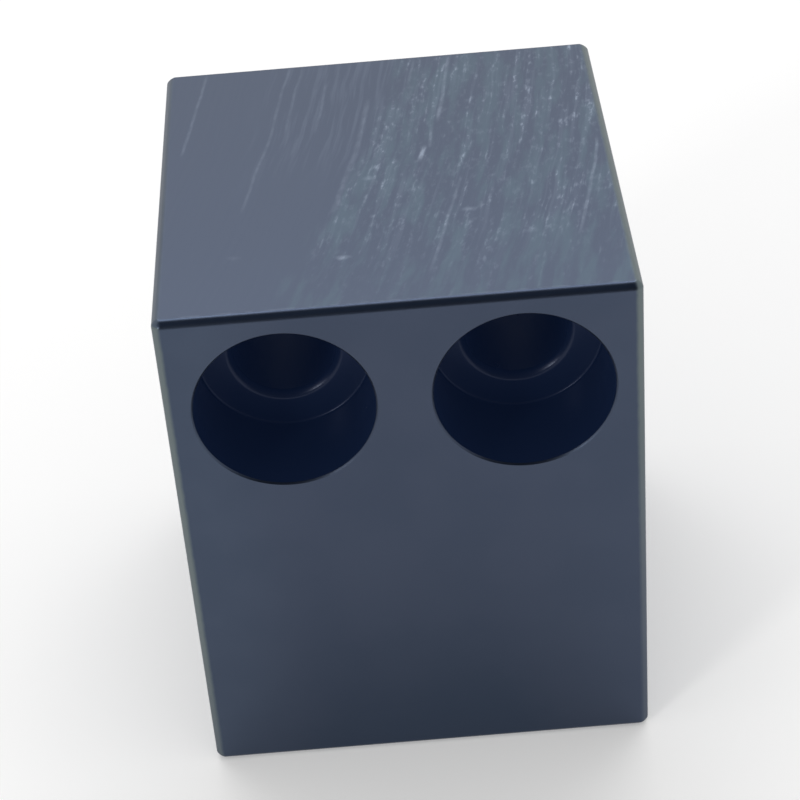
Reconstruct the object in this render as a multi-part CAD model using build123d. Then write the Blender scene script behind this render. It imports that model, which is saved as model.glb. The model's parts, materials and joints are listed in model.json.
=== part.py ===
from build123d import *
import os

# Machined mounting block: a small upright block milled square from bar, with every edge
# chamfered, and two counterbored holes side by side that take M5 socket head cap screws from
# the front and let them out through the back.
#
# Frame: millimetres, Z up. X runs across the width and Y from front to back, so the screws go
# in along +Y. The origin is the centre of the bottom face.

# ---- block ----
block_width = 25.0
block_depth = 26.5
block_height = 30.5
upright_edge_chamfer = 0.35
end_edge_chamfer = 0.3

# ---- screw seats ----
screw_from_side = 6.25  # from each side face in to the nearer screw's axis
screw_below_top = 6.0
bore_diameter = 5.5  # clearance for an M5 shank
counterbore_diameter = 9.5  # clearance for an M5 cap head
counterbore_depth = 5.4  # sinks the 5 mm head just below the face
counterbore_corner_radius = 0.15  # left in the corner by the cutter's nose
counterbore_edge_break = 0.1
bore_mouth_chamfer = 0.3  # clears the fillet under the screw's head
bore_exit_chamfer = 0.3

# How far the cutter stands clear of the faces that it enters and leaves
cutter_overrun = 1.0


def milled_blank():
    """The squared block, its upright edges chamfered first and then the edges of both ends."""
    blank = extrude(Rectangle(block_width, block_depth), amount=block_height)
    blank = chamfer(blank.edges().filter_by(Axis.Z), length=upright_edge_chamfer)
    cut_ends = blank.faces().filter_by(Axis.Z)
    return chamfer(cut_ends.edges(), length=end_edge_chamfer)


def screw_seat_cutter():
    """All that one screw's hole takes away, turned from its half section about +Y.

    The section's x is the radius and its y the depth below the front face. The edge breaks
    at both ends are cones that go on past the faces, so their width there is exact.
    """
    bore = bore_diameter / 2
    counterbore = counterbore_diameter / 2
    mouth_cone = counterbore + counterbore_edge_break + cutter_overrun
    exit_cone = bore + bore_exit_chamfer + cutter_overrun
    section = Polygon(
        (0, -cutter_overrun),
        (mouth_cone, -cutter_overrun),
        (counterbore, counterbore_edge_break),
        (counterbore, counterbore_depth),
        (bore + bore_mouth_chamfer, counterbore_depth),
        (bore, counterbore_depth + bore_mouth_chamfer),
        (bore, block_depth - bore_exit_chamfer),
        (exit_cone, block_depth + cutter_overrun),
        (0, block_depth + cutter_overrun),
        align=None,
    )
    floor_corner = section.vertices().sort_by_distance((counterbore, counterbore_depth))[0]
    section = fillet(floor_corner, radius=counterbore_corner_radius)
    return revolve(section, axis=Axis.Y)


def mounting_block():
    """The blank with a screw seat on each side of its middle plane."""
    screw_row = Pos(0, -block_depth / 2, block_height - screw_below_top)
    screw_spacing = block_width - 2 * screw_from_side
    cutter = screw_seat_cutter()
    seats = [screw_row * place * cutter for place in GridLocations(screw_spacing, 0, 2, 1)]
    return milled_blank() - seats


os.makedirs("parts", exist_ok=True)
export_step(mounting_block(), "parts/mounting_block.step")
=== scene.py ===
import bpy
import bmesh
import json
import math
from mathutils import Matrix, Vector


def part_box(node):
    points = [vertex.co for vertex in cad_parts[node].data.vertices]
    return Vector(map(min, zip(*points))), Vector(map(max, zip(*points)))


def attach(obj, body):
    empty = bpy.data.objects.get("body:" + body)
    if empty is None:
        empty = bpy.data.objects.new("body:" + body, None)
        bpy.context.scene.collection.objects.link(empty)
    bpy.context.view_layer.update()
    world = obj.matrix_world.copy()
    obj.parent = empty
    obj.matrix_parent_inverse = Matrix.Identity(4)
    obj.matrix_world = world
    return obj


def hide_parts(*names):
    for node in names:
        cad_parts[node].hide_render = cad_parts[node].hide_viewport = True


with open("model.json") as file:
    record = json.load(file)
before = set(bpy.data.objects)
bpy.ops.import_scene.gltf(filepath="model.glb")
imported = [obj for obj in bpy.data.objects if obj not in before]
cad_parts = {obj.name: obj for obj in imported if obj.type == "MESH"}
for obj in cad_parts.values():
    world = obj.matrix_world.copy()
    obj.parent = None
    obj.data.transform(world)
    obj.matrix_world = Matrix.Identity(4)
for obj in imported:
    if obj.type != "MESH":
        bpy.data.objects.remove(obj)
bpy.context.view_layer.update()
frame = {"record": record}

mm = 0.001
mounts = {mount["name"]: mount for mount in frame["record"]["mounts"]}
blockLow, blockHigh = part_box("mounting_block")
blockSize = blockHigh - blockLow
blockMiddle = (blockLow + blockHigh) / 2
print("frame loaded, block", [round(side / mm, 2) for side in blockSize], "mm")


class Wire:
    # One socket of a node tree. Sums on numbers add Math nodes and sums on vectors add
    # Vector Math nodes.
    def __init__(self, graph, socket):
        self.graph = graph
        self.socket = socket

    def reckon(self, operation, *values):
        isVector = any(isinstance(v, Wire) and v.socket.type == "VECTOR" for v in values)
        kind = "ShaderNodeVectorMath" if isVector else "ShaderNodeMath"
        return self.graph.node(kind, {"operation": operation}, dict(enumerate(values)))

    def __add__(self, other):
        return self.reckon("ADD", self, other)

    def __radd__(self, other):
        return self.reckon("ADD", other, self)

    def __sub__(self, other):
        return self.reckon("SUBTRACT", self, other)

    def __rsub__(self, other):
        return self.reckon("SUBTRACT", other, self)

    def __mul__(self, other):
        return self.reckon("MULTIPLY", self, other)

    def __rmul__(self, other):
        return self.reckon("MULTIPLY", other, self)

    def __abs__(self):
        return self.reckon("ABSOLUTE", self)

    def atMost(self, other):
        return self.reckon("MINIMUM", self, other)

    def atLeast(self, other):
        return self.reckon("MAXIMUM", self, other)

    def parts(self):
        return self.graph.node("ShaderNodeSeparateXYZ", {}, {0: self}, outputs="XYZ")

    def length(self):
        settings = {"operation": "LENGTH"}
        return self.graph.node("ShaderNodeVectorMath", settings, {0: self}, outputs=["Value"])[0]

    def dot(self, direction):
        settings = {"operation": "DOT_PRODUCT"}
        values = {0: self, 1: direction}
        return self.graph.node("ShaderNodeVectorMath", settings, values, outputs=["Value"])[0]

    def rise(self, low, high, start=0.0, end=1.0):
        # a soft step from start to end while the value goes from low to high
        settings = {"interpolation_type": "SMOOTHSTEP"}
        values = {"Value": self, "From Min": low, "From Max": high, "To Min": start, "To Max": end}
        return self.graph.node("ShaderNodeMapRange", settings, values)


class Graph:
    # The node tree of one material, or of the world
    def __init__(self, owner):
        owner.use_nodes = True
        self.tree = owner.node_tree
        self.tree.nodes.clear()

    def node(self, kind, settings, values, outputs=None):
        made = self.tree.nodes.new(kind)
        for name, setting in settings.items():
            setattr(made, name, setting)
        for name, value in values.items():
            socket = made.inputs[name]
            if isinstance(value, Wire):
                self.tree.links.new(value.socket, socket)
            else:
                socket.default_value = value
        if outputs is None:
            seen = [socket for socket in made.outputs if socket.enabled]
            return Wire(self, seen[0])
        return [Wire(self, made.outputs[name]) for name in outputs]

    def millimetres(self):
        # where a point is, in millimetres from the middle of the bottom face
        place = self.node("ShaderNodeTexCoord", {}, {}, outputs=["Object"])[0]
        return self.node("ShaderNodeVectorMath", {"operation": "SCALE"}, {0: place, "Scale": 1 / mm})

    def vector(self, x, y, z):
        return self.node("ShaderNodeCombineXYZ", {}, {0: x, 1: y, 2: z})

    def noise(self, where, scale, detail=2.0):
        values = {"Vector": where, "Scale": scale, "Detail": detail}
        return self.node("ShaderNodeTexNoise", {}, values)

    def mix(self, amount, under, over):
        # 6 and 7 are the places of the node's two colour sockets
        values = {0: amount, 6: under, 7: over}
        return self.node("ShaderNodeMix", {"data_type": "RGBA"}, values)

    def bump(self, height, depth):
        return self.node("ShaderNodeBump", {}, {"Distance": depth, "Height": height})

    def surface(self, shader, kind="ShaderNodeOutputMaterial"):
        self.node(kind, {}, {"Surface": shader}, outputs=[])


def grey(level):
    return (level, level, level, 1.0)


finishAndPaintedLight = {
    "faceDye": (0.062, 0.078, 0.119, 1.0),
    # painted shade low down in the middle of each side, standing in for the shadowed floor seen in
    # it; also the colour of the dye's random clouds
    "faceDyeCloudAndShade": (0.047, 0.065, 0.104, 1.0),
    # painted light towards the upright edges and most on the left, standing in for the lit floor seen
    # in the side
    "faceDyePaintedLight": (0.068, 0.088, 0.132, 1.0),
    "faceRoughness": 0.40,
    "endDye": (0.0715, 0.0895, 0.132, 1.0),
    "endTorn": (0.081, 0.113, 0.151, 1.0),
    "endRoughness": 0.42,
    "bareMetal": (0.43, 0.50, 0.61, 1.0),
    # pale edge colour: real worn dye, and painted reflection where it is strongest near the top, on
    # the left and on the right of the ends
    "wornEdgeAndPaintedSheen": (0.125, 0.153, 0.162, 1.0),
    # painted shade: darker and bluer on the end chamfers, standing in for their dark reflection
    "browPaintedShade": (0.048, 0.070, 0.125, 1.0),
    # painted shade: the seats' dye, made far darker than the faces' to stand in for the shade in the
    # holes
    "seatDyeAndShade": (0.006, 0.013, 0.037, 1.0),
    "seatPaintedGlow": (0.0020, 0.0042, 0.0130, 1.0),  # painted glow: faint navy light the seats give off where no light falls
    "seatMetallic": 0.3,
    "seatRoughness": 0.30,
    "wallSpecular": 0.2,
    "lipSpecular": 0.3,
    "seatCloud": (0.8, 0.1),  # scale of the seats' unevenness, and how much roughness it brings
}


# Where the dye is rubbed off along the edges, with a painted reflection in that pale band, and where
# painted shade darkens the end chamfers, in millimetres. The first two of four numbers are where a
# soft step starts and stops, and the last two its strength there.
wearAndPaintedLight = {
    "rubbed": (0.28, 0.52, 1.0, 0.0),  # inwards from an edge
    "fray": 0.12,  # how unevenly that ends
    "frayScale": 1.6,
    "lean": 0.6,  # the pale band of wear and painted reflection reaches further down on the left edges than on the right ones
    "upright": (-6.0, 20.0, 0.1, 1.0),  # upwards along an upright edge: painted reflection, fading towards the bottom
    "endSides": (-4.0, 4.0, 0.3, 1.0),  # from the left to the right of an end, a painted highlight strongest on the right
    "endBand": (0.28, 0.32, 1.0, 0.0),  # inwards from an end, where the last one holds
    "browShadeBand": (0.12, 0.30, 1.0, 0.0),  # painted shade, inwards from the front and back edges of both ends
}


def edgeDistances(place):
    # how far a point is from the nearest side, from the front or back, and from an end
    x, y, z = place.parts()
    fromSide = blockSize.x / 2 / mm - abs(x)
    fromFront = blockSize.y / 2 / mm - abs(y)
    return fromSide, fromFront, z.atMost(blockSize.z / mm - z)


def frayNoise(graph, place):
    return graph.noise(place, wearAndPaintedLight["frayScale"], detail=3.0)


def rubbedEdgesAndPaintedSheen(place, fray):
    # how far the dye is rubbed off, with painted reflection in the same pale band: along the upright
    # edges, strongest near the top and fading towards the bottom, and along the sides of both ends,
    # strongest on the right as a painted highlight
    x, _, z = place.parts()
    fromSide, fromFront, fromEnd = edgeDistances(place)
    gap = fromSide.atLeast(fromFront.atMost(fromEnd)) + (fray - 0.5) * wearAndPaintedLight["fray"]
    upright = (z - x * wearAndPaintedLight["lean"]).rise(*wearAndPaintedLight["upright"])
    ends = x.rise(*wearAndPaintedLight["endSides"])
    return gap.rise(*wearAndPaintedLight["rubbed"]) * (upright + (ends - upright) * fromEnd.rise(*wearAndPaintedLight["endBand"]))


def browPaintedShadeMask(place):
    # 1 on the chamfers along the front and the back of both ends, where a darker, bluer painted shade
    # stands in for their dark reflection
    _, fromFront, fromEnd = edgeDistances(place)
    return fromEnd.atLeast(fromFront).rise(*wearAndPaintedLight["browShadeBand"])


faceMarksAndPaintedLight = {
    "cloudScale": 0.22,
    "cloud": (0.35, 0.65),
    "cloudDye": 0.2,
    "cloudRoughness": 0.08,
    "grainScale": 7.0,
    "grainRoughness": 0.06,
    "grainDepth": 0.003 * mm,
    # soft steps in millimetres, from 0 to 1 where no strengths are given
    # painted shade, darker low down in the middle of each side
    "paintedShadeInwards": (1.0, 9.0),  # from an upright edge
    "paintedShadeUpwards": (-2.0, 14.0, 1.0, 0.0),
    # painted light, lighter towards the upright edges and most on the left
    "paintedLightInwards": (1.0, 7.0, 1.0, 0.0),
    "paintedLightAcross": (-6.0, 6.0, 1.0, 0.3),  # from left to right
}


def dyedFaceAndPaintedLight():
    # sides: satin dye with faint clouds and a fine grain, with painted shade low down in the middle
    # of each side, painted light towards the upright edges and most on the left, a darker painted
    # shade on the end chamfers, and the dye worn through along the edges, with painted reflection in
    # that pale band
    material = bpy.data.materials.new("dyedFaceAndPaintedLight")
    graph = Graph(material)
    place = graph.millimetres()
    x, _, z = place.parts()
    cloud = graph.noise(place, faceMarksAndPaintedLight["cloudScale"], detail=3.0)
    grain = graph.noise(place, faceMarksAndPaintedLight["grainScale"], detail=2.0)
    fromSide, fromFront, _ = edgeDistances(place)
    fromUpright = fromSide.atLeast(fromFront)
    # painted shade: darker low down in the middle of each side
    paintedShade = fromUpright.rise(*faceMarksAndPaintedLight["paintedShadeInwards"]) * z.rise(*faceMarksAndPaintedLight["paintedShadeUpwards"])
    # painted light: lighter towards the upright edges, most of all on the left
    paintedLight = fromUpright.rise(*faceMarksAndPaintedLight["paintedLightInwards"]) * x.rise(*faceMarksAndPaintedLight["paintedLightAcross"])
    clouded = cloud.rise(*faceMarksAndPaintedLight["cloud"]) * faceMarksAndPaintedLight["cloudDye"]
    tint = graph.mix(paintedLight, finishAndPaintedLight["faceDye"], finishAndPaintedLight["faceDyePaintedLight"])
    tint = graph.mix(paintedShade + clouded, tint, finishAndPaintedLight["faceDyeCloudAndShade"])
    # painted shade on the chamfers along the ends' front and back edges
    tint = graph.mix(browPaintedShadeMask(place), tint, finishAndPaintedLight["browPaintedShade"])
    # worn dye along the edges, with painted reflection in the pale band
    tint = graph.mix(rubbedEdgesAndPaintedSheen(place, frayNoise(graph, place)), tint, finishAndPaintedLight["wornEdgeAndPaintedSheen"])
    roughness = finishAndPaintedLight["faceRoughness"] + (cloud - 0.5) * faceMarksAndPaintedLight["cloudRoughness"]
    roughness = roughness + (grain - 0.5) * faceMarksAndPaintedLight["grainRoughness"]
    values = {"Base Color": tint, "Roughness": roughness, "Metallic": 1.0}
    values["Normal"] = graph.bump(grain, faceMarksAndPaintedLight["grainDepth"])
    graph.surface(graph.node("ShaderNodeBsdfPrincipled", {}, values))
    return material


# Marks on the milled ends, in millimetres, with soft steps as in the two tables above
cutterMarks = {
    "centre": (-150.0, 30.0),  # of the cutter's sweep over the end
    "drift": (0.16, 0.5),  # scale and width of the sweep's slow wandering
    "shake": (1.2, 0.06),  # and of its quick one
    "layerGap": 3.0,  # gives the two ends different marks
    "dashLayer": 9.0,
    # how close together each kind of mark is across the sweep and along it, and its detail
    "broad": (1.5, 0.26, 3.0),
    "lines": (4.1, 0.18, 2.0),
    "dashes": (4.3, 1.7, 3.0),
    "tornFrom": 150.9,  # radius at which the cutter begins to tear the metal, at mid depth
    "tornLean": 0.10,  # how much larger that is for each millimetre further back
    "tornFray": 3.0,  # how far the broad marks shift it
    "tornStep": (-0.4, 1.0),
    "patches": (0.40, 0.66),
    "patchDye": 0.8,
    "long": (0.46, 0.72),
    "short": (0.50, 0.76),
    "longAlone": 0.3,  # strength of a long streak, of one with dashes in it, and of the dashes
    "longDashed": 1.7,
    "shortAlone": 0.35,
    "fromFront": (-12.5, -3.0, 0.15, 0.95),  # strength of the streaks from front to back
    "backRight": (4.0, 9.0),  # where they are strongest, to the right and
    "backDeep": (0.0, 6.0),  # towards the back
    "backExtra": 0.2,
    "grazed": (143.5, 146.5),  # radius from which single lines show short of the torn part
    "grazedDeep": (-3.0, 5.0),
    "grazedShare": 0.3,
    "streakBare": 0.17,
    "ragged": (0.35, 0.65, 0.45, 1.0),  # how the dashes break up a scratch or a dent
    # radius, start and end across the depth, half width and strength of each long scratch
    "scratches": [
        (141.05, 12.9, 3.4, 0.09, 0.10),
        (145.80, 12.9, -3.2, 0.09, 0.075),
        (146.60, 13.0, 5.0, 0.08, 0.065),
        (147.40, 4.8, 2.2, 0.08, 0.04),
        (147.80, 10.6, 9.0, 0.08, 0.05),
        (148.30, 10.8, 4.8, 0.08, 0.08),
        (149.55, 9.9, 8.2, 0.08, 0.04),
        (150.90, 8.3, -4.0, 0.16, 0.08),
        (153.10, 12.9, 9.5, 0.09, 0.10),
        (154.65, 2.4, 0.8, 0.13, 0.60),
        (154.90, 4.6, 2.2, 0.09, 0.14),
        (155.20, 13.0, 5.0, 0.11, 0.15),
        (157.15, -1.2, -10.6, 0.09, 0.08),
        (164.25, 2.0, -8.0, 0.09, 0.15),
    ],
    "scratchCore": 0.3,  # share of the half width that has the full strength
    "scratchSkirt": 1.5,  # and at which nothing is left
    "tipInside": 1.0,  # how a scratch's tips fade, inside its length
    "tipOutside": 0.3,  # and past it
    # place, radius and strength of each small dent
    "nicks": [
        (-2.60, -8.45, 0.30, 0.26),
        (4.30, -4.65, 0.34, 0.24),
        (-1.00, -0.65, 0.30, 0.16),
        (-8.30, -7.65, 0.30, 0.08),
        (7.30, -7.25, 0.34, 0.08),
    ],
    "nickSquash": 0.55,  # under 1, they are wider than deep
    "nickFray": 0.4,
    # the thin bright burr along the front edge: where it starts and stops, and its gaps
    "burrStart": (0.30, 0.36),
    "burrStop": (0.40, 0.60, 0.07, 0.0),
    "burrGaps": (0.42, 0.60),
    "topBand": (-1.0, -0.5),  # single marks are on the top end only
    "lineRoughness": 0.10,
    "lineDepth": 0.004 * mm,
    "smoothDepth": 0.3,  # share of that depth on the smooth part
}


def sweepOf(graph, place):
    # radius from the cutter's centre, a little unsteady, so that the marks run in arcs
    x, y, _ = place.parts()
    centreX, centreY = cutterMarks["centre"]
    driftScale, drift = cutterMarks["drift"]
    shakeScale, shake = cutterMarks["shake"]
    radius = graph.vector(x - centreX, y - centreY, 0.0).length()
    radius = radius + (graph.noise(place, driftScale) - 0.5) * drift
    return radius + (graph.noise(place, shakeScale) - 0.5) * shake


def sweptNoise(graph, sweep, y, layer, kind):
    # noise drawn out along the sweep
    across, along, detail = cutterMarks[kind]
    return graph.noise(graph.vector(sweep * across, y * along, layer), 1.0, detail=detail)


def singleMarks(graph, place, sweep, dashes, fray):
    # the burr, the scratches and the dents of the top end
    x, y, z = place.parts()
    fromFront = y + blockSize.y / 2 / mm
    burr = fromFront.rise(*cutterMarks["burrStart"]) * fromFront.rise(*cutterMarks["burrStop"])
    marks = burr * fray.rise(*cutterMarks["burrGaps"])
    ragged = dashes.rise(*cutterMarks["ragged"])
    inside, outside = cutterMarks["tipInside"], cutterMarks["tipOutside"]
    for radius, start, end, halfWidth, strength in cutterMarks["scratches"]:
        core = halfWidth * cutterMarks["scratchCore"]
        skirt = halfWidth * cutterMarks["scratchSkirt"]
        across = abs(sweep - radius).rise(core, skirt, strength, 0.0)
        along = y.rise(end - outside, end + inside)
        along = along * y.rise(start - inside, start + outside, 1.0, 0.0)
        marks = marks.atLeast(across * along * ragged)
    for nickX, nickY, radius, strength in cutterMarks["nicks"]:
        fromNick = graph.vector((x - nickX) * cutterMarks["nickSquash"], y - nickY, 0.0)
        away = fromNick.length() + (fray - 0.5) * cutterMarks["nickFray"]
        marks = marks.atLeast(away.rise(0.0, radius, strength, 0.0) * ragged)
    return marks * (z - blockSize.z / mm).rise(*cutterMarks["topBand"])


def cutEnd():
    # milled ends, with the cutter's sweep in arcs: smooth on the left and torn on the right
    material = bpy.data.materials.new("cutEnd")
    graph = Graph(material)
    place = graph.millimetres()
    x, y, z = place.parts()
    sweep = sweepOf(graph, place)
    layer = z * cutterMarks["layerGap"]
    broad = sweptNoise(graph, sweep, y, layer, "broad")
    lines = sweptNoise(graph, sweep, y, layer, "lines")
    dashes = sweptNoise(graph, sweep, y, layer + cutterMarks["dashLayer"], "dashes")
    fray = frayNoise(graph, place)

    edge = cutterMarks["tornFrom"] + y * cutterMarks["tornLean"]
    torn = (sweep - edge + (broad - 0.5) * cutterMarks["tornFray"]).rise(*cutterMarks["tornStep"])
    patches = broad.rise(*cutterMarks["patches"]) * torn

    long = lines.rise(*cutterMarks["long"])
    short = dashes.rise(*cutterMarks["short"])
    backRight = x.rise(*cutterMarks["backRight"]) * y.rise(*cutterMarks["backDeep"])
    hold = y.rise(*cutterMarks["fromFront"]) + backRight * cutterMarks["backExtra"]
    dashed = long * (cutterMarks["longAlone"] + short * cutterMarks["longDashed"])
    streaks = (dashed + short * cutterMarks["shortAlone"]) * torn * hold
    grazed = sweep.rise(*cutterMarks["grazed"]) * y.rise(*cutterMarks["grazedDeep"])
    streaks = streaks + long * grazed * cutterMarks["grazedShare"] * (1.0 - torn)

    tint = graph.mix(patches * cutterMarks["patchDye"], finishAndPaintedLight["endDye"], finishAndPaintedLight["endTorn"])
    tint = graph.mix(streaks * cutterMarks["streakBare"], tint, finishAndPaintedLight["bareMetal"])
    marks = singleMarks(graph, place, sweep, dashes, fray)
    tint = graph.mix(marks, tint, finishAndPaintedLight["bareMetal"])
    # worn dye along the edges, with painted reflection in the pale band, strongest on the right
    tint = graph.mix(rubbedEdgesAndPaintedSheen(place, fray), tint, finishAndPaintedLight["wornEdgeAndPaintedSheen"])
    roughness = finishAndPaintedLight["endRoughness"] + (lines - 0.5) * cutterMarks["lineRoughness"]
    values = {"Base Color": tint, "Roughness": roughness, "Metallic": 1.0}
    relief = lines * (cutterMarks["smoothDepth"] + torn)
    values["Normal"] = graph.bump(relief, cutterMarks["lineDepth"])
    graph.surface(graph.node("ShaderNodeBsdfPrincipled", {}, values))
    return material


def turnedSurfaceAndPaintedShade(name, specular):
    # what the drill and the counterbore cut, darkest: painted shade in the dye's colour, and a
    # painted glow as emission
    material = bpy.data.materials.new(name)
    graph = Graph(material)
    cloudScale, cloudRoughness = finishAndPaintedLight["seatCloud"]
    cloud = graph.noise(graph.millimetres(), cloudScale, detail=3.0)
    # painted shade: the seats share the faces' finish but are coloured darker
    values = {"Base Color": finishAndPaintedLight["seatDyeAndShade"], "Metallic": finishAndPaintedLight["seatMetallic"]}
    values["Specular IOR Level"] = specular
    values["Roughness"] = finishAndPaintedLight["seatRoughness"] + (cloud - 0.5) * cloudRoughness
    # painted glow, not a lamp: the seats give off a faint navy light
    values["Emission Color"] = finishAndPaintedLight["seatPaintedGlow"]
    values["Emission Strength"] = 1.0
    graph.surface(graph.node("ShaderNodeBsdfPrincipled", {}, values))
    return material


blank = {
    "uprightChamfer": 0.35 * mm,
    "endChamfer": 0.3 * mm,
    "softening": 0.12 * mm,  # the chamfers' own edges, rubbed smooth
    "softSteps": 3,
    "endTilt": 0.9,  # a face is part of an end where its normal points up or down this much
}


def bevelEdges(bm, edges, width, steps):
    bm.normal_update()
    bmesh.ops.bevel(bm, geom=edges, offset=width, offset_type="OFFSET", segments=steps,
                    profile=0.5, affect="EDGES", clamp_overlap=False, material=-1)
    bm.normal_update()


def makeBlank():
    bm = bmesh.new()
    bmesh.ops.create_cube(bm, size=1.0)
    bmesh.ops.scale(bm, vec=blockSize, verts=bm.verts)
    bmesh.ops.translate(bm, vec=blockMiddle, verts=bm.verts)
    upright = [e for e in bm.edges if abs(e.verts[0].co.z - e.verts[1].co.z) > blockSize.z / 2]
    bevelEdges(bm, upright, blank["uprightChamfer"], 1)
    rims = [e for e in bm.edges if any(abs(f.normal.z) > blank["endTilt"] for f in e.link_faces)]
    bevelEdges(bm, rims, blank["endChamfer"], 1)
    bevelEdges(bm, bm.edges[:], blank["softening"], blank["softSteps"])
    return bm


seat = {
    "mouthBreak": 0.1 * mm,
    "floorCorner": 0.15 * mm,
    "boreMouth": 0.3 * mm,
    "exitChamfer": 0.3 * mm,
    "softening": 0.04 * mm,  # the breaks' own edges
    "lipSoftening": 0.14 * mm,  # the edges of the bore's mouth, rubbed round
    "overrun": 1.0 * mm,
    "cornerSteps": 4,
    "turns": 144,
    "sameSpot": 1e-7,  # points nearer than this are one
}


def seatSizes():
    head = mounts["head_seat_right"]
    hole = mounts["screw_hole_right"]
    wallEnd = head["pos_m"][1] + head["dims"]["length_mm"] * mm / 2
    sizes = {"head": head["dims"]["r_mm"] * mm, "bore": hole["dims"]["r_mm"] * mm}
    sizes["floor"] = wallEnd + seat["floorCorner"]
    sizes["front"] = blockLow.y
    sizes["back"] = blockHigh.y
    return sizes


def makeCutter():
    # half section of one screw's seat, x outwards and y into the block, spun about y
    sizes = seatSizes()
    over = seat["overrun"]
    head, bore, floor = sizes["head"], sizes["bore"], sizes["floor"]
    front, back = sizes["front"], sizes["back"]
    soft, lip = seat["softening"], seat["lipSoftening"]
    # outwards, inwards and the radius that rounds the corner
    corners = [
        (0, front - over, 0),
        (head + seat["mouthBreak"] + over, front - over, 0),
        (head, front + seat["mouthBreak"], soft),
        (head, floor, seat["floorCorner"]),
        (bore + seat["boreMouth"], floor, lip),
        (bore, floor + seat["boreMouth"], lip),
        (bore, back - seat["exitChamfer"], soft),
        (bore + seat["exitChamfer"] + over, back + over, 0),
        (0, back + over, 0),
    ]
    bm = bmesh.new()
    loop = [bm.verts.new((x, y, 0)) for x, y, _ in corners]
    bm.faces.new(loop)
    for corner, (_, _, radius) in zip(loop, corners):
        if radius:
            bmesh.ops.bevel(bm, geom=[corner], offset=radius, offset_type="OFFSET",
                            segments=seat["cornerSteps"], profile=0.5, affect="VERTICES",
                            material=-1)
    onAxis = [e for e in bm.edges if all(abs(v.co.x) < seat["sameSpot"] for v in e.verts)]
    bmesh.ops.delete(bm, geom=bm.faces[:], context="FACES_ONLY")
    bmesh.ops.delete(bm, geom=onAxis, context="EDGES")
    bmesh.ops.spin(bm, geom=bm.verts[:] + bm.edges[:], cent=(0, 0, 0), axis=(0, 1, 0),
                   dvec=(0, 0, 0), angle=math.tau, steps=seat["turns"], use_merge=True)
    bmesh.ops.remove_doubles(bm, verts=bm.verts, dist=seat["sameSpot"])
    bmesh.ops.recalc_face_normals(bm, faces=bm.faces)
    return bm


def makeCutterPair():
    bm = makeCutter()
    pair = bmesh.new()
    for name in ("screw_hole_left", "screw_hole_right"):
        mesh = bpy.data.meshes.new("oneCutter")
        bm.to_mesh(mesh)
        x, _, z = mounts[name]["pos_m"]
        mesh.transform(Matrix.Translation((x, 0, z)))
        pair.from_mesh(mesh)
        bpy.data.meshes.remove(mesh)
    bm.free()
    return pair


def toObject(bm, name):
    mesh = bpy.data.meshes.new(name)
    bm.to_mesh(mesh)
    bm.free()
    made = bpy.data.objects.new(name, mesh)
    bpy.context.scene.collection.objects.link(made)
    return made


def settle(made):
    # works the modifiers into the mesh
    bpy.context.view_layer.update()
    shape = made.evaluated_get(bpy.context.evaluated_depsgraph_get())
    mesh = bpy.data.meshes.new_from_object(shape)
    made.modifiers.clear()
    made.data = mesh


shading = {
    "flatTilt": 0.9999,  # as above, for the flat part of an end without its chamfers
    "wallSlack": 0.001 * mm,  # past the seat's mouth, for rounding errors
    "lipSlant": (0.2, 0.98),  # how much the bore lip's normals point along the bore
    "lipAhead": 0.01 * mm,  # how far the lip may start before the seat's floor
    "lipAround": 0.1 * mm,  # and reach past the chamfer at the bore's mouth
    "sharpFrom": 32.0,  # degrees
    "evenWeight": 100,
}


def cutSeats(block):
    cutter = toObject(makeCutterPair(), "cutterPair")
    cut = block.modifiers.new("seats", "BOOLEAN")
    cut.operation = "DIFFERENCE"
    cut.solver = "EXACT"
    cut.object = cutter
    settle(block)
    bpy.data.objects.remove(cutter)


def isLip(face, fromAxis, sizes):
    # whether a face of the seat is part of the rounded ring at the bore's mouth
    least, most = shading["lipSlant"]
    slanted = least < abs(face.normal.y) < most
    deepEnough = sizes["floor"] - shading["lipAhead"] < face.center.y < blockMiddle.y
    reach = sizes["bore"] + seat["boreMouth"] + shading["lipAround"]
    return slanted and deepEnough and fromAxis < reach


def finishFaces(mesh):
    # gives each face its material, by where it lies and where it points
    materials = {"side": dyedFaceAndPaintedLight(), "end": cutEnd()}
    # the seats' materials carry painted shade and a painted glow
    materials["seat"] = turnedSurfaceAndPaintedShade("seatWallAndPaintedShade", finishAndPaintedLight["wallSpecular"])
    materials["lip"] = turnedSurfaceAndPaintedShade("boreLipAndPaintedShade", finishAndPaintedLight["lipSpecular"])
    for material in materials.values():
        mesh.materials.append(material)
    slotOf = {name: index for index, name in enumerate(materials)}
    axes = [Vector(mounts[name]["pos_m"]) for name in ("screw_hole_left", "screw_hole_right")]
    sizes = seatSizes()
    reach = sizes["head"] + seat["mouthBreak"] + shading["wallSlack"]
    wallStart = sizes["front"] + seat["mouthBreak"]
    for face in mesh.polygons:
        fromAxis = min(math.hypot(face.center.x - a.x, face.center.z - a.z) for a in axes)
        corners = [mesh.vertices[v].co for v in face.vertices]
        spread = min(max(math.hypot(c.x - a.x, c.z - a.z) for c in corners) for a in axes)
        if spread < reach and face.center.y > wallStart:
            face.material_index = slotOf["lip" if isLip(face, fromAxis, sizes) else "seat"]
        elif abs(face.normal.z) > shading["flatTilt"]:
            face.material_index = slotOf["end"]
        face.use_smooth = True


def makeBlock():
    block = toObject(makeBlank(), "anodisedBlock")
    cutSeats(block)
    finishFaces(block.data)
    block.data.set_sharp_from_angle(angle=math.radians(shading["sharpFrom"]))
    evenOut = block.modifiers.new("evenShading", "WEIGHTED_NORMAL")
    evenOut.weight = shading["evenWeight"]
    evenOut.keep_sharp = True
    settle(block)
    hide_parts("mounting_block")
    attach(block, "root")
    print("block made,", len(block.data.polygons), "faces")


makeBlock()


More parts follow.
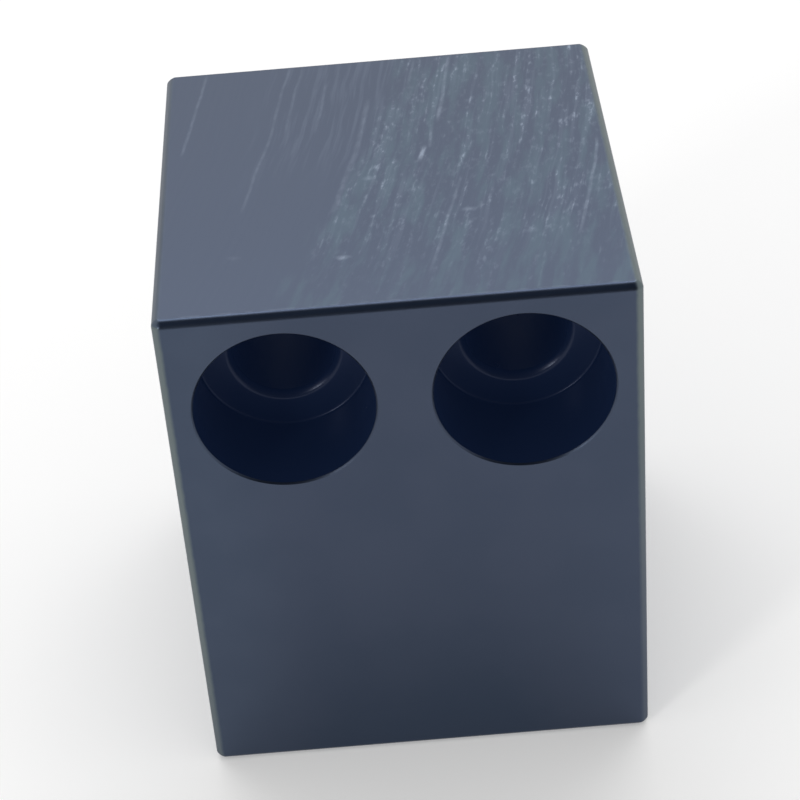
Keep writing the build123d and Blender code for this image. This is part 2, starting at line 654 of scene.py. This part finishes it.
studio = {
    "floorSize": 6.0,
    "floorColour": grey(0.80),
    "floorLift": 0.2,  # what the floor gives off by itself, to what sees it
    "fill": 0.62,  # light on the block from all round
    "shade": (0.052, 0.060, 0.076, 1.0),
    "shadeFrom": (0.0, -0.72, 0.69),  # where the backdrop is darkest
    "shadeSpread": (0.35, 0.72),  # cosines between which it gets dark
}


def seenRays(graph):
    # 1 for what the camera, a reflection or a refraction sees, and 0 for what lights the block
    names = ["Is Camera Ray", "Is Glossy Ray", "Is Transmission Ray"]
    direct, glossy, through = graph.node("ShaderNodeLightPath", {}, {}, outputs=names)
    return (direct + glossy + through).atMost(1.0)


def makeFloor():
    bm = bmesh.new()
    bmesh.ops.create_grid(bm, x_segments=1, y_segments=1, size=studio["floorSize"] / 2)
    floor = toObject(bm, "floor")
    material = bpy.data.materials.new("paleFloor")
    graph = Graph(material)
    paper = graph.node("ShaderNodeBsdfDiffuse", {}, {"Color": studio["floorColour"]})
    lift = seenRays(graph) * studio["floorLift"]
    glow = graph.node("ShaderNodeEmission", {}, {"Color": grey(1.0), "Strength": lift})
    graph.surface(graph.node("ShaderNodeAddShader", {}, {0: paper, 1: glow}))
    floor.data.materials.append(material)


def makeWorld():
    # a pale backdrop all round, dark on the camera's side and overhead
    world = bpy.data.worlds.new("studioAir")
    bpy.context.scene.world = world
    graph = Graph(world)
    direction = graph.node("ShaderNodeTexCoord", {}, {}, outputs=["Generated"])[0]
    shaded = direction.dot(studio["shadeFrom"]).rise(*studio["shadeSpread"])
    backdrop = graph.mix(shaded, grey(1.0), studio["shade"])
    air = graph.mix(seenRays(graph), grey(studio["fill"]), backdrop)
    background = graph.node("ShaderNodeBackground", {}, {"Color": air, "Strength": 1.0})
    graph.surface(background, "ShaderNodeOutputWorld")


makeFloor()
makeWorld()


softboxes = {
    "backSoftbox": {
        "azimuth": 180,
        "elevation": 62,
        "distance": 0.60,
        "size": (0.60, 0.30),
        "power": 1.6,
        "colour": (1.0, 1.0, 1.0),
    },
    "leftSoftbox": {
        "azimuth": -44,
        "elevation": 23,
        "distance": 0.50,
        "size": (0.08, 0.10),
        "power": 0.50,
        "colour": (1.0, 0.98, 0.93),
    },
}


def outwards(azimuth, elevation):
    # azimuth 0 is in front of the block and 90 on its right
    turn, tilt = math.radians(azimuth), math.radians(elevation)
    return Vector((math.sin(turn) * math.cos(tilt), -math.cos(turn) * math.cos(tilt), math.sin(tilt)))


def addSoftbox(name, softbox):
    light = bpy.data.lights.new(name, "AREA")
    light.shape = "RECTANGLE"
    light.size, light.size_y = softbox["size"]
    light.energy = softbox["power"]
    light.color = softbox["colour"]
    box = bpy.data.objects.new(name, light)
    out = outwards(softbox["azimuth"], softbox["elevation"])
    box.location = blockMiddle + out * softbox["distance"]
    box.rotation_euler = out.to_track_quat("Z", "Y").to_euler()
    box.visible_camera = False
    bpy.context.scene.collection.objects.link(box)


for name, softbox in softboxes.items():
    addSoftbox(name, softbox)


camera = {
    "azimuth": 0.15,
    "elevation": 35.87,
    "distance": 140.5 * mm,
    "roll": -4.805,
    "lens": 107.95,
    "sensor": 36.0,
    "clipStart": 0.01,
    "aim": (-0.286 * mm, 0.0, 15.0 * mm),
}


def addCamera():
    data = bpy.data.cameras.new("camera")
    data.lens = camera["lens"]
    data.sensor_width = camera["sensor"]
    data.clip_start = camera["clipStart"]
    made = bpy.data.objects.new("camera", data)
    out = outwards(camera["azimuth"], camera["elevation"])
    made.location = Vector(camera["aim"]) + out * camera["distance"]
    spin = Matrix.Rotation(math.radians(camera["roll"]), 4, "Z")
    made.rotation_euler = (out.to_track_quat("Z", "Y").to_matrix().to_4x4() @ spin).to_euler()
    bpy.context.scene.collection.objects.link(made)
    bpy.context.scene.camera = made


addCamera()
bpy.context.scene.view_settings.view_transform = "Standard"
print("studio and camera set")
